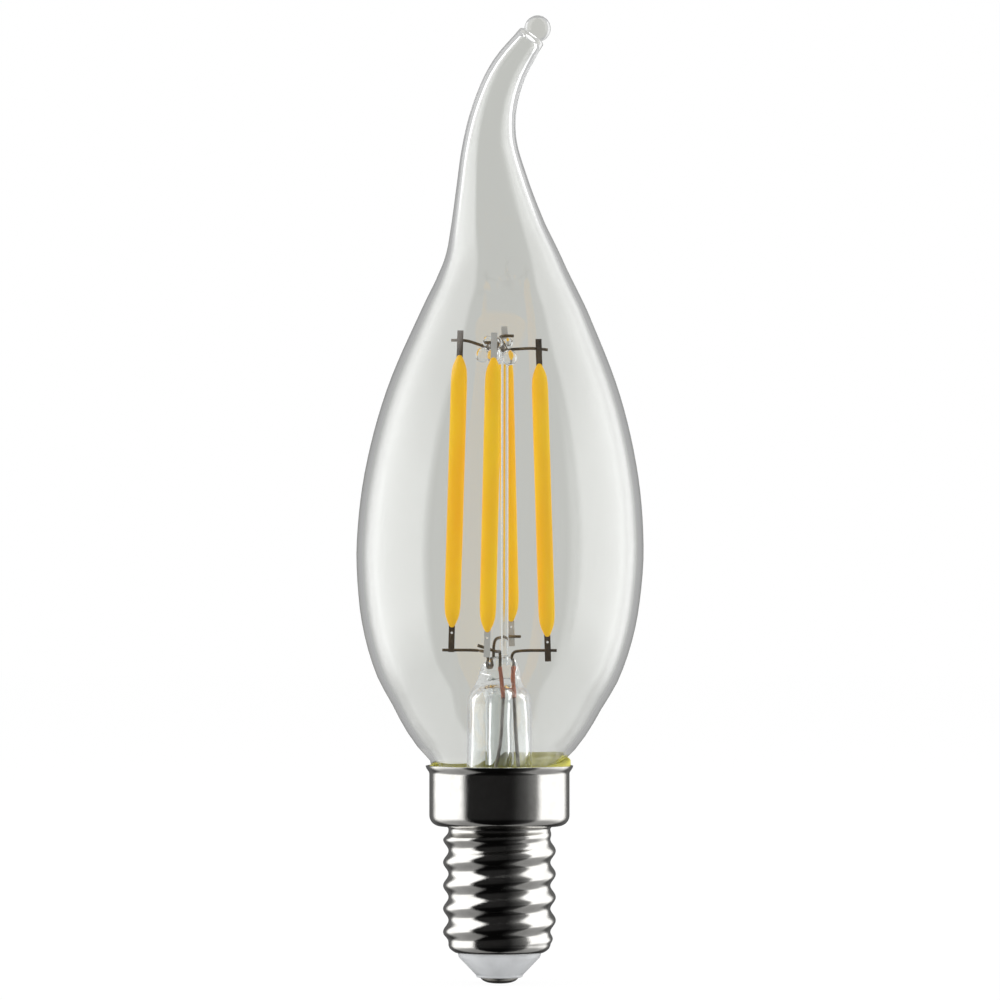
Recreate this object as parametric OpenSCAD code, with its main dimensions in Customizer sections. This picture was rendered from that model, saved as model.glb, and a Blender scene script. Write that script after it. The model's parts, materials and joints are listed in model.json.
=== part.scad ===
// Candle bulb with a wind-blown tail, four filament sticks and a small screw cap.
// Upright, cap down, +Z up. The origin is the lowest point of the centre contact.
// All lengths are in millimetres.

/* [Glass envelope] */
// Greatest outer diameter of the blown glass
glass_d = 35; // [32:0.5:36]
// Thickness of the blown wall
glass_wall = 0.65; // [0.5:0.05:0.9]
// Height of the widest ring above the contact
glass_wide_z = 53.5; // [50:0.5:57]
// Height of the middle of the end bead above the contact
glass_tip_z = 116.5; // [112:0.5:121]
// Outer diameter of the tail just before its bead
tail_d = 4.2; // [3.8:0.1:4.6]
// Sideways reach of the bead from the axis of the glass
tail_reach = 3.3; // [2:0.1:4.5]
// Reach of the bead towards the front
tail_forward = 0.6; // [0:0.1:1.2]
// Length over which the tail leans into its bend
tail_ease = 9; // [6:0.5:12]
// Diameter of the solid bead where the tail was drawn off
bead_d = 3.2; // [3:0.1:3.5]
// Length of solid glass between the hollow and the middle of the bead
tail_plug = 2.2; // [1.8:0.1:3]
// Sideways seat of the glass in the cap rim
glass_shift = -0.45; // [-0.45:0.05:0]
// Lean of the glass in the cap, in degrees
glass_lean = 1.15; // [0:0.05:1.2]

/* [Glass stem] */
// Outer diameter of the stem tube
stem_d = 7.9; // [7.4:0.1:8.2]
// Wall of the stem tube
stem_wall = 0.7; // [0.6:0.05:0.8]
// Height of the shoulder where the tube is pinched
stem_shoulder_z = 35.3; // [34.5:0.1:36]
// Height of the top of the press
press_top_z = 39.9; // [39.5:0.1:40.1]
// Width of the press at its top
press_top_w = 3.6; // [3.4:0.1:4]
// Width of the press half way up
press_mid_w = 5.4; // [5:0.1:5.8]
// Thickness of the press, front to back
press_t = 2.8; // [2.6:0.1:3.2]
// Outer diameter of the exhaust tube
exhaust_d = 3.5; // [3.2:0.1:3.6]
// Bore of the exhaust tube
exhaust_bore = 2.1; // [1.8:0.1:2.2]
// Height of the melted tip of the exhaust tube
exhaust_tip_z = 18.2; // [17.6:0.1:19]
// Bore of the side port that the air was drawn through
port_d = 1.2; // [0.8:0.1:1.4]
// Diameter of the centre rod
rod_d = 0.9; // [0.8:0.05:1]
// Sideways place of the centre rod
rod_x = 0.65; // [0.5:0.05:0.7]
// Height of the wires in the glass crown
crown_z = 77.2; // [76.8:0.1:77.6]
// Sideways place of the crown
crown_x = -0.3; // [-0.4:0.05:0]
// Tilt of the crown and its wires, down to the right, in degrees
crown_tilt = 6; // [0:0.5:7]
// Diameter of the crown's melted core
crown_core_d = 2.7; // [2.5:0.1:2.9]
// Diameter of each lower lobe of the crown
lobe_d = 1.9; // [1.7:0.1:2]
// Diameter of each upper lobe of the crown
upper_lobe_d = 1.4; // [1.2:0.1:1.5]
// Distance of the lobes from the crown's axis
lobe_ring_r = 1.65; // [1.5:0.05:1.75]
// Height of a lobe's middle from the wires
lobe_rise = 0.85; // [0.75:0.05:0.9]

/* [Filament sticks] */
// Length of the yellow coat
coat_l = 33.2; // [31:0.1:34]
// Diameter of the yellow coat
coat_d = 2.02; // [1.9:0.02:2.2]
// Length of the tapered end of the coat
coat_taper_l = 1.6; // [1.2:0.1:2]
// Width of the coat where its tab comes out
coat_end_d = 0.9; // [0.85:0.05:1]
// Height of the middle of the sticks above the contact
stick_mid_z = 59.7; // [59.2:0.1:60.1]
// Distance of the sticks from the axis at their top ends
stick_top_r = 4.9; // [4.7:0.1:5.3]
// Distance of the sticks from the axis at their lower ends
stick_low_r = 6; // [5.6:0.1:6.3]
// Turn of the crown's wires, seen from above, in degrees
stick_top_turn = 8; // [0:1:10]
// Turn of the lower wires, seen from above, in degrees
stick_low_turn = 14; // [8:1:16]
// Width of the carrier strip in the coat
strip_w = 0.8; // [0.7:0.05:0.85]
// Thickness of the carrier strip
strip_t = 0.3; // [0.25:0.05:0.35]
// Width of an end tab
tab_w = 0.75; // [0.7:0.05:0.8]
// Thickness of an end tab
tab_t = 0.2; // [0.15:0.05:0.25]
// Length of a tab outside the coat
tab_out = 3; // [2.8:0.1:3.4]
// Length of a tab inside the coat
tab_in = 1.2; // [1:0.1:1.4]
// Diameter of the polarity hole in a lower tab
tab_hole_d = 0.28; // [0.2:0.02:0.32]
// Distance of the polarity hole from the coat
tab_hole_gap = 0.65; // [0.5:0.05:0.8]
// Number of light-emitting chips on a strip
chip_count = 26; // [20:1:28]
// Length of a chip
chip_l = 0.75; // [0.6:0.05:0.8]
// Width of a chip
chip_w = 0.4; // [0.3:0.05:0.5]
// Thickness of a chip
chip_t = 0.15; // [0.1:0.05:0.2]

/* [Wires] */
// Diameter of the wires that carry the sticks
wire_d = 0.38; // [0.32:0.02:0.42]
// Diameter of the copper-coated wire sealed in the press
seal_d = 0.5; // [0.44:0.02:0.56]
// Diameter of the tinned leads below the press
lead_d = 0.4; // [0.34:0.02:0.44]
// Length of wire that stands past a weld
stub_l = 1.1; // [0.8:0.1:1.3]
// Height of the left stick's lower weld
left_weld_z = 40.6; // [40.4:0.1:40.8]
// Height of the front stick's lower weld
front_weld_z = 40.9; // [40.7:0.1:41.1]
// Height of the right stick's lower weld
right_weld_z = 40.6; // [40.4:0.1:40.8]
// Height of the back stick's lower weld
back_weld_z = 42.2; // [42:0.1:42.4]
// Raised seat of the left stick
left_lift = 0.25; // [0:0.05:0.4]
// Raised seat of the front stick
front_lift = -0.25; // [-0.4:0.05:0]
// Raised seat of the right stick
right_lift = -0.85; // [-1:0.05:-0.7]
// Raised seat of the back stick
back_lift = 0.9; // [0.7:0.05:1]

/* [Screw cap] */
// Rise of the thread in one turn
thread_pitch = 2.82; // [2.7:0.02:2.9]
// Depth from crest to root
thread_depth = 0.66; // [0.5:0.02:0.75]
// Height of the first crest on the right
thread_start_z = 4.85; // [4.6:0.05:5.1]
// Length over which the thread fades at each end
thread_fade = 1.3; // [1:0.1:1.6]
// Thickness of the sheet metal
sheet_t = 0.28; // [0.24:0.02:0.32]
// Outer diameter of the smooth skirt. The thread, the neck and the insulator follow it
skirt_d = 17.1; // [17:0.1:17.4]
// Step from the skirt in to the crests of the thread
shoulder_step = 1.675; // [1.6:0.005:1.75]
// Height of the shoulder under the skirt
shoulder_z = 19; // [18.8:0.1:19.2]
// Radius of the rounded shoulder
shoulder_r = 1.3; // [1:0.1:1.5]
// Height of the rim
rim_z = 26.5; // [26.2:0.1:26.8]
// Reach of the flared lip past the skirt
lip_out = 0.45; // [0.35:0.05:0.5]
// Height of the flare of the lip
lip_h = 0.8; // [0.6:0.1:1]
// Height of the rolled lower edge of the shell
shell_low_z = 3.75; // [3.6:0.05:3.9]
// Height over which the lower edge rolls in
shell_roll_h = 0.85; // [0.7:0.05:0.95]
// Step from the crests of the thread in to the mouth that holds the insulator
roll_in = 1.775; // [1.65:0.025:2]
// Height of the short steep band of the insulator
insulator_band_h = 0.55; // [0.4:0.05:0.7]
// Height of the insulator's lower face
insulator_low_z = 0.75; // [0.65:0.05:0.85]
// Diameter of the insulator's lower face
insulator_low_d = 5.66; // [5.4:0.1:6]
// Height of the insulator's top inside the shell
insulator_top_z = 6.1; // [5.8:0.1:6.3]
// Diameter of the domed contact
contact_d = 4.6; // [4.4:0.1:4.8]
// Diameter of the flat at the bottom of the contact
contact_flat_d = 1.6; // [1.2:0.1:2]
// Diameter of the contact's shank in the insulator
contact_shank_d = 2; // [1.8:0.1:2.2]
// Height of the top of the shank
contact_top_z = 4.6; // [4.2:0.1:5]
// Thickness of the cement between the neck and the skirt
cement_t = 0.62; // [0.58:0.02:0.7]
// Height of the cement over the rim on its high side
cement_bulge = 1.1; // [0.6:0.1:1.4]
// Turn of the cement's high side from the right towards the back, in degrees
cement_turn = 48; // [0:1:90]

/* [Driver in the cap] */
// Gap between an edge of the circuit board and the bore of the shell
board_gap = 1.235; // [1.1:0.005:1.4]
// Height of the circuit board
board_h = 9.6; // [9.2:0.1:9.8]
// Thickness of the circuit board
board_t = 0.8; // [0.6:0.1:1]
// Height of the lower edge of the board
board_z = 7.6; // [7.4:0.1:7.8]
// Width of a flat package
chip_case_w = 2.6; // [2.4:0.1:2.8]
// Depth of a flat package
chip_case_t = 1.2; // [1:0.1:1.4]
// Height of the rectifier's package
rectifier_h = 4; // [3.6:0.1:4.4]
// Height of the driver chip's package
driver_chip_h = 3; // [2.6:0.1:3.4]
// Gap between the capacitor and the bore of the shell
capacitor_gap = 1.335; // [1.2:0.005:1.6]
// Height of the capacitor
capacitor_h = 6.4; // [6:0.1:6.8]
// Diameter of the fusible resistor
resistor_d = 1.9; // [1.7:0.1:2]
// Length of the fusible resistor
resistor_l = 4.6; // [4.2:0.1:5]

/* [Hidden] */
STICKS = ["left", "front", "right", "back"];

$fn = 48;
// Overrun of cuts
over = 0.1;
// Inset of a faceted stretch inside the exact wall that it grows from
seam = 0.03;
// Clearance round a sealed or seated piece
seat_gap = 0.02;
// Sides of the blown tail, of the thread and of a wire
tail_sides = 28;
thread_sides = 32;
wire_sides = 8;
// Rows of points on the thread for each turn
rows_a_turn = 8;

glass_r = glass_d / 2;
tail_r = tail_d / 2;
bead_r = bead_d / 2;
skirt_r = skirt_d / 2;
skirt_inner_r = skirt_r - sheet_t;
lip_r = skirt_r + lip_out;
neck_r = skirt_inner_r - cement_t;
thread_r = skirt_r - shoulder_step;
root_r = thread_r - thread_depth;
bore_r = root_r - sheet_t;
insulator_r = thread_r - roll_in;
board_w = 2 * (bore_r - board_gap);
capacitor_d = bore_r - board_t / 2 - capacitor_gap;
neck_top_z = rim_z - 1.5 * lip_h;
neck_low_z = shoulder_z + 1.2 * shoulder_r;
stem_r = stem_d / 2;
stem_bore_r = stem_r - stem_wall;
neck_bore_r = neck_r - glass_wall;
wire_r = wire_d / 2;
stick_h = coat_l / 2;
weld_heights = [left_weld_z, front_weld_z, right_weld_z, back_weld_z];
stick_lifts = [left_lift, front_lift, right_lift, back_lift];

// Outline of the glass from the neck to its widest ring: shares of height, shares of radius
shoulder_shares = [
    [0, 0], [0.055, 0.03], [0.083, 0.115], [0.119, 0.2], [0.2, 0.365],
    [0.291, 0.508], [0.4175, 0.713], [0.589, 0.877], [0.761, 0.964], [1, 1]
];
// Outline from the widest ring to the bead: shares of height, shares of radius
taper_shares = [
    [0.143, 0.942], [0.298, 0.783], [0.4524, 0.523], [0.53, 0.37], [0.608, 0.247],
    [0.762, 0.091], [0.84, 0.04], [0.9175, 0.01], [0.965, -0.015], [1, -0.05]
];
// Middle line of the tail: shares of its height, shares of its sideways reach
tail_line_shares = [
    [0, 0], [0.145, -0.12], [0.29, -0.34], [0.435, -0.54], [0.565, -0.67],
    [0.667, -0.62], [0.768, -0.39], [0.855, -0.02], [0.928, 0.47], [1, 1]
];
// Where the tail starts to bend, as a share of the height above the widest ring
tail_start_share = 0.4524;
// Height of the glass ring where the tail starts to bend
tail_low_z = glass_wide_z + tail_start_share * (glass_tip_z - glass_wide_z);

outline = concat(
    [for (k = shoulder_shares)
        [neck_top_z + k[0] * (glass_wide_z - neck_top_z), neck_r + k[1] * (glass_r - neck_r)]],
    [for (k = taper_shares)
        [glass_wide_z + k[0] * (glass_tip_z - glass_wide_z), tail_r + k[1] * (glass_r - tail_r)]]
);
tail_line = [for (k = tail_line_shares)
    [tail_low_z + k[0] * (glass_tip_z - tail_low_z), k[1] * tail_reach]];

// Slope of a table of points at entry i
function slope_at(t, i) =
    let (a = max(i - 1, 0), b = min(i + 1, len(t) - 1)) (t[b][1] - t[a][1]) / (t[b][0] - t[a][0]);
// Entry of the table whose stretch holds x
function stretch_of(t, x, i = 0) = i >= len(t) - 2 || x < t[i + 1][0] ? i : stretch_of(t, x, i + 1);
// Smooth curve through a table of points, with level ends where asked
function curve_at(t, x) =
    let (
        i = stretch_of(t, x),
        h = t[i + 1][0] - t[i][0],
        u = min(max((x - t[i][0]) / h, 0), 1),
        m0 = i == 0 ? 0 : slope_at(t, i) * h,
        m1 = slope_at(t, i + 1) * h
    )
    t[i][1] * (2 * u ^ 3 - 3 * u ^ 2 + 1) + m0 * (u ^ 3 - 2 * u ^ 2 + u)
        + t[i + 1][1] * (3 * u ^ 2 - 2 * u ^ 3) + m1 * (u ^ 3 - u ^ 2);

function unit(v) = v / norm(v);
// Ring of points round a middle, square to a direction
function ring_round(middle, dir, side, r, sides) =
    let (d = unit(dir), e = unit(side - (side * d) * d), f = cross(d, e))
    [for (i = [0:sides - 1]) let (a = 360 * (i + 0.5) / sides) middle + r * (cos(a) * e + sin(a) * f)];
// Triangles between two rings, from the entry at which each starts
function band(a, b, sides) =
    [for (i = [0:sides - 1]) let (j = (i + 1) % sides)
        each [[a + i, a + j, b + i], [a + j, b + j, b + i]]];
function backwards(faces) = [for (f = faces) [f[0], f[2], f[1]]];

// Control points of a wire, each inner corner rounded by a share of its shorter side
corner_share = 0.42;
corner_steps = 4;
function rounded_path(p) = concat(
    [p[0]],
    [for (i = [1:1:len(p) - 2])
        let (
            reach = corner_share * min(norm(p[i] - p[i - 1]), norm(p[i + 1] - p[i])),
            a = p[i] + reach * unit(p[i - 1] - p[i]),
            b = p[i] + reach * unit(p[i + 1] - p[i])
        )
        for (k = [0:corner_steps])
            let (u = k / corner_steps) (1 - u) ^ 2 * a + 2 * u * (1 - u) * p[i] + u ^ 2 * b],
    [p[len(p) - 1]]
);
// Round wire along control points. The side is a direction that the wire never runs in
module wire(points, d, side) {
    p = rounded_path(points);
    n = len(p);
    dirs = [for (i = [0:n - 1])
        i == 0 ? p[1] - p[0] : i == n - 1 ? p[i] - p[i - 1] : unit(p[i + 1] - p[i]) + unit(p[i] - p[i - 1])];
    polyhedron(
        points = [for (i = [0:n - 1]) each ring_round(p[i], dirs[i], side, d / 2, wire_sides)],
        faces = concat(
            [[for (i = [0:wire_sides - 1]) i]],
            [for (i = [0:n - 2]) each backwards(band(i * wire_sides, (i + 1) * wire_sides, wire_sides))],
            [[for (i = [wire_sides - 1:-1:0]) (n - 1) * wire_sides + i]]
        )
    );
}

// Puts a child in the frame of the glass, which leans in the cap rim
module in_glass() {
    translate([glass_shift, 0, rim_z]) rotate([0, glass_lean, 0]) translate([0, 0, -rim_z]) children();
}

// Glass envelope
body_steps = 40;
body_heights = concat(
    [neck_low_z],
    [for (i = [0:body_steps]) let (u = i / body_steps) neck_top_z + u * (tail_low_z - neck_top_z)]
);
function glass_radius(z) = curve_at(outline, z);
// Point of the inner face, one wall inside the outline
function inner_point(z) =
    let (dz = glass_wall / 2, s = (glass_radius(z + dz) - glass_radius(z - dz)) / (2 * dz), n = sqrt(1 + s * s))
    z <= neck_top_z + dz ? [glass_radius(z) - glass_wall, z] : [glass_radius(z) - glass_wall * n, z];

module glass_body() {
    rotate_extrude()
        polygon(concat(
            [for (z = body_heights) [glass_radius(z), z]],
            [for (i = [len(body_heights) - 1:-1:0]) inner_point(body_heights[i])]
        ));
}

tail_h = glass_tip_z - tail_low_z;
// How far the faceted tail starts inside the exact wall
tail_sink = 4 * seam;
function tail_middle(z) =
    let (u = max(z - tail_low_z, 0) / tail_h) [curve_at(tail_line, z), -tail_forward * u ^ 4, z];
function fade(u) = let (v = min(max(u, 0), 1)) v * v * (3 - 2 * v);
function tail_direction(z) =
    let (lean = fade((z - tail_low_z) / tail_ease), d = unit(tail_middle(z + tail_sink) - tail_middle(z - tail_sink)))
    lean * d + (1 - lean) * [0, 0, 1];

// Blown tail: an outer skin, a closed hollow and a flat end that the bead swallows
module glass_tail() {
    outer_steps = 26;
    inner_steps = 22;
    low = tail_low_z - tail_sink;
    end_z = glass_tip_z - bead_r / 4;
    hollow_z = glass_tip_z - tail_plug;
    round_h = 1.2 * glass_wall;
    outer_z = [for (i = [0:outer_steps]) low + i / outer_steps * (end_z - low)];
    inner_z = [for (i = [0:inner_steps - 1]) low + i / inner_steps * (hollow_z - low)];
    n = tail_sides;
    outer_n = len(outer_z);
    inner_n = len(inner_z);
    inner_0 = outer_n * n;
    pole = inner_0 + inner_n * n;
    polyhedron(
        points = concat(
            [for (z = outer_z)
                each ring_round(tail_middle(z), tail_direction(z), [0, 1, 0],
                    glass_radius(z) - seam - (z > end_z - seam ? bead_r / 6 : 0), n)],
            [for (z = inner_z)
                each ring_round(tail_middle(z), tail_direction(z), [0, 1, 0],
                    max(glass_radius(z) - 1.1 * glass_wall + seam, glass_wall)
                        * (z > hollow_z - round_h ? 0.8 : 1), n)],
            [tail_middle(hollow_z)]
        ),
        faces = concat(
            [for (i = [0:outer_n - 2]) each backwards(band(i * n, (i + 1) * n, n))],
            [[for (i = [n - 1:-1:0]) (outer_n - 1) * n + i]],
            [for (i = [0:inner_n - 2]) each band(inner_0 + i * n, inner_0 + (i + 1) * n, n)],
            [for (i = [0:n - 1]) [inner_0 + (inner_n - 1) * n + i, inner_0 + (inner_n - 1) * n + (i + 1) % n, pole]],
            band(0, inner_0, n)
        )
    );
}

module glass_envelope() {
    color([0.9, 0.93, 0.93, 0.35])
        in_glass()
            union() {
                glass_body();
                glass_tail();
                translate(tail_middle(glass_tip_z)) sphere(d = bead_d);
            }
}

// Glass stem
port_turn = 50;
press_mid_z = (stem_shoulder_z + press_top_z) / 2 + stem_wall / 2;
flare_z = neck_low_z + 2 * stem_wall;

// Flat of the press at one height, round at both ends
module press_slab(w, z) {
    for (x = [-1, 1])
        translate([x * (w - press_t) / 2, 0, z]) cylinder(d = press_t, h = seam, $fn = 24);
}
// Flare tube, trumpet and press before wires and tubes are let in
module stem_body() {
    rotate_extrude()
        polygon([
            [stem_bore_r, flare_z + 2 * stem_wall], [stem_bore_r, stem_shoulder_z],
            [stem_r, stem_shoulder_z], [stem_r, flare_z + 3 * stem_wall],
            [stem_r + stem_wall, flare_z + stem_wall], [neck_r, neck_low_z + stem_wall],
            [neck_r, neck_low_z], [neck_bore_r - 2 * stem_wall, neck_low_z],
            [stem_r, flare_z]
        ]);
    hull() {
        translate([0, 0, stem_shoulder_z - over]) cylinder(r = stem_r, h = over, $fn = 32);
        press_slab(press_mid_w, press_mid_z);
    }
    hull() {
        press_slab(press_mid_w, press_mid_z);
        press_slab(press_top_w, press_top_z - seam);
    }
}
// Wires that the press seals, used as cutters
module press_wires() {
    for (s = [1, 2]) {
        support_wire(s);
        seal_wire(s);
    }
    link_wire_body();
}
module stem_flare() {
    color([0.86, 0.9, 0.9, 0.35])
        difference() {
            intersection() {
                stem_body();
                in_glass() translate([0, 0, neck_low_z - stem_wall])
                    cylinder(r = neck_bore_r, h = press_top_z);
            }
            translate([0, 0, stem_shoulder_z - over])
                rotate([0, port_turn, 90]) cylinder(d = port_d, h = stem_d);
            press_wires();
            centre_rod_body();
        }
}

module exhaust_tube() {
    color([0.88, 0.92, 0.92, 0.35])
        difference() {
            union() {
                translate([0, 0, exhaust_tip_z + exhaust_d / 2])
                    cylinder(d = exhaust_d, h = stem_shoulder_z - over - exhaust_tip_z - exhaust_d / 2);
                translate([0, 0, exhaust_tip_z + exhaust_d / 2]) sphere(d = exhaust_d);
            }
            translate([0, 0, exhaust_tip_z + exhaust_d])
                cylinder(d = exhaust_bore, h = stem_shoulder_z);
        }
}

// Centre rod, its foot let into the press and its head melted to a crown
rod_foot_z = press_top_z - press_t;
module crown_body() {
    translate([crown_x, 0, crown_z]) rotate([0, crown_tilt, 0]) {
        sphere(d = crown_core_d);
        for (i = [0:3]) rotate([0, 0, 90 * i - stick_top_turn]) {
            translate([lobe_ring_r, 0, -lobe_rise]) sphere(d = lobe_d);
            translate([lobe_ring_r * upper_lobe_d / lobe_d, 0, lobe_rise]) sphere(d = upper_lobe_d);
        }
    }
}
module centre_rod_body() {
    translate([rod_x, 0, rod_foot_z]) cylinder(d = rod_d, h = crown_z - rod_foot_z);
}
module centre_rod() {
    color([0.9, 0.93, 0.93, 0.4])
        difference() {
            union() {
                centre_rod_body();
                crown_body();
            }
            crown_wire_body(-1);
            crown_wire_body(1);
        }
}

// Filament sticks. Each has its own middle, its own lean and the same make
function stick_angle(i, turn) = [180, 270, 0, 90][i] - turn;
function stick_end(i, up) =
    let (a = stick_angle(i, up ? stick_top_turn : stick_low_turn), r = up ? stick_top_r : stick_low_r)
    [r * cos(a), r * sin(a), stick_mid_z + stick_lifts[i] + (up ? stick_h : -stick_h)];
// Point of a stick's middle line at a height
function stick_at(i, z) =
    let (a = stick_end(i, false), b = stick_end(i, true)) a + (z - a[2]) / (b[2] - a[2]) * (b - a);
module on_stick(i) {
    a = stick_end(i, false);
    b = stick_end(i, true);
    d = b - a;
    translate((a + b) / 2)
        rotate([-atan2(d[1], d[2]), 0, 0])
            rotate([0, atan2(d[0], norm([d[1], d[2]])), 0])
                children();
}
module coat_body() {
    for (m = [0, 1]) mirror([0, 0, m])
        rotate_extrude()
            polygon([
                [0, 0], [coat_d / 2, 0], [coat_d / 2, stick_h - coat_taper_l],
                [coat_d / 2 * 0.93, stick_h - 0.7 * coat_taper_l],
                [(coat_d + coat_end_d) / 4, stick_h - 0.25 * coat_taper_l],
                [coat_end_d / 2, stick_h], [0, stick_h]
            ]);
}
strip_l = coat_l - 2 * tab_in;
module strip_body() {
    translate([-strip_w / 2, -strip_t / 2, -strip_l / 2]) cube([strip_w, strip_t, strip_l]);
}
chip_pitch = (strip_l - 2 * tab_in) / chip_count;
module chips_body() {
    for (k = [0:chip_count - 1])
        translate([-chip_w / 2, -strip_t / 2 - chip_t, (k - chip_count / 2 + 0.5) * chip_pitch - chip_l / 2])
            cube([chip_w, chip_t, chip_l]);
}
// End tab above the strip, with a polarity hole in the lower one
module tab_body(hole) {
    difference() {
        translate([-tab_w / 2, -tab_t / 2, strip_l / 2]) cube([tab_w, tab_t, tab_in + tab_out]);
        if (hole)
            translate([0, tab_t, stick_h + tab_hole_gap]) rotate([90, 0, 0])
                cylinder(d = tab_hole_d, h = 2 * tab_t);
    }
}
module stick_coat(i) {
    color([1, 0.77, 0.08]) on_stick(i)
        difference() {
            coat_body();
            strip_body();
            chips_body();
            tab_body(false);
            mirror([0, 0, 1]) tab_body(false);
        }
}
module stick_strip(i) { color([0.93, 0.93, 0.9]) on_stick(i) strip_body(); }
module stick_chips(i) { color([0.35, 0.55, 0.95]) on_stick(i) chips_body(); }
module upper_tab(i) { color([0.36, 0.29, 0.16]) on_stick(i) tab_body(false); }
module lower_tab(i) { color([0.36, 0.29, 0.16]) on_stick(i) mirror([0, 0, 1]) tab_body(true); }

// Wires of the crown and of the press
weld_gap = tab_t / 2 + wire_r + seat_gap;
function top_weld_z(i) = stick_mid_z + stick_lifts[i] + stick_h + tab_out * 0.6;
function behind_tab(i, z) = stick_at(i, z) + [0, i == 3 ? -weld_gap : weld_gap, 0];
// Point of the crown's core on the side of a stick
function crown_point(i, r) =
    let (a = stick_angle(i, stick_top_turn))
    [crown_x + r * cos(a), r * sin(a), crown_z - r * cos(a) * tan(crown_tilt)];
// One wire of the crown joins a side stick to the stick in front of it or behind it
module crown_wire_body(side) {
    i = side < 0 ? 0 : 2;
    j = side < 0 ? 1 : 3;
    a = behind_tab(i, top_weld_z(i));
    b = behind_tab(j, top_weld_z(j));
    wire([
        a + [side * stub_l, 0, side < 0 ? 0 : -stub_l * sin(crown_tilt)],
        a + [-side * tab_w, 0, side < 0 ? 0 : tab_w * sin(crown_tilt)],
        crown_point(i, crown_core_d / 4),
        crown_point(j, crown_core_d / 4),
        b + [-side * stub_l / 2, (i == 0 ? 1 : -1) * wire_d, 0],
        b + [side * stub_l, 0, 0]
    ], wire_d, [0, 0, 1]);
}
module crown_wire(side) { color([0.32, 0.24, 0.1]) crown_wire_body(side); }

// Where a wire of the lower ring leaves the press, for the left, front, right and back sticks
press_exits = [
    [-press_top_w / 2.6, -wire_d], [press_top_w / 40, -press_t / 3.5],
    [press_top_w / 2.4, 0], [-press_top_w / 5, press_t / 3.5]
];
function low_weld(i) = behind_tab(i, weld_heights[i]);
function exit_point(i, z) = [press_exits[i][0], press_exits[i][1], z];
wire_foot_z = press_top_z - press_t / 2;
function support_points(i) =
    let (w = low_weld(i), side = i == 2 ? 1 : -1)
    i == 1
        ? [exit_point(i, wire_foot_z), exit_point(i, weld_heights[i] - wire_d),
            w + [-side * stub_l, 2 * wire_d, -wire_d], w + [side * stub_l, 0, wire_d]]
        : [exit_point(i, wire_foot_z), exit_point(i, weld_heights[i] - wire_r),
            [side * stick_low_r / 2, w[1], weld_heights[i]], w + [side * stub_l, 0, 0]];
module support_wire(s) { wire(support_points(s), wire_d, s == 1 ? [1, 0, 0.3] : [0, 1, 0]); }

// The link joins the left and back sticks through the press
module link_wire_body() {
    l = low_weld(0);
    b = low_weld(3);
    wire([
        l + [-stub_l, 0, 0], [-stick_low_r / 2, l[1], weld_heights[0]],
        exit_point(0, weld_heights[0] - wire_r), exit_point(0, wire_foot_z),
        exit_point(3, wire_foot_z), exit_point(3, weld_heights[3] - wire_r),
        b + [-stub_l / 2, -2 * wire_d, 0], b + [stub_l, 0, 0]
    ], wire_d, [1, -1, 0.05]);
}
module link_wire() { color([0.32, 0.24, 0.1]) link_wire_body(); }

// Feet of the two copper-coated wires, in the stem tube in front of the exhaust tube
lead_ring_r = (stem_bore_r + exhaust_d / 2) / 2;
lead_turns = [0, -80, -48, 0];
function seal_foot(s) =
    [lead_ring_r * cos(lead_turns[s]), lead_ring_r * sin(lead_turns[s]), stem_shoulder_z - seal_d];
module seal_wire(s) {
    wire([exit_point(s, wire_foot_z), seal_foot(s)], seal_d, [1, 0, 0]);
}
// A tinned lead runs down the stem tube to the board
module outer_lead(s) {
    f = seal_foot(s);
    side = s == 1 ? -1 : 1;
    x = side * board_w / 4;
    wire([
        f, [f[0] + side * lead_d, f[1], (f[2] + neck_low_z) / 2],
        [side * lead_ring_r, -lead_ring_r * 0.6, neck_low_z],
        [x, -board_t / 2 - lead_d / 2 - seat_gap, board_top_z + lead_d],
        [x, -board_t / 2 - lead_d / 2 - seat_gap, board_top_z - 3 * lead_d]
    ], lead_d, [1, 0.2, 0]);
}

// Screw cap
thread_top_z = shoulder_z - sheet_t;
thread_low_z = shell_low_z + shell_roll_h;
// Radius of the rolled thread at an angle and a height
function thread_radius(a, z) =
    let (turn = 360 * (z - thread_start_z) / thread_pitch - a, k = (1 + cos(turn)) / 2,
        ends = fade((z - thread_low_z) / thread_fade) * fade((thread_top_z - z) / thread_fade))
    root_r + thread_depth * k * ends;

// Sheet with the rolled thread: a grid of points outside and the same grid one sheet inside
module thread_sheet() {
    low = thread_low_z - 2 * seam;
    high = thread_top_z + 2 * seam;
    rows = round((high - low) / thread_pitch * rows_a_turn);
    n = thread_sides;
    inner_0 = (rows + 1) * n;
    polyhedron(
        points = [for (inside = [0, 1]) for (j = [0:rows]) for (i = [0:n - 1])
            let (z = low + j / rows * (high - low), a = 360 * i / n, r = thread_radius(a, z) - inside * sheet_t)
            [r * cos(a), r * sin(a), z]],
        faces = concat(
            [for (j = [0:rows - 1]) each backwards(band(j * n, (j + 1) * n, n))],
            [for (j = [0:rows - 1]) each band(inner_0 + j * n, inner_0 + (j + 1) * n, n)],
            band(0, inner_0, n),
            backwards(band(rows * n, inner_0 + rows * n, n))
        )
    );
}
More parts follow.
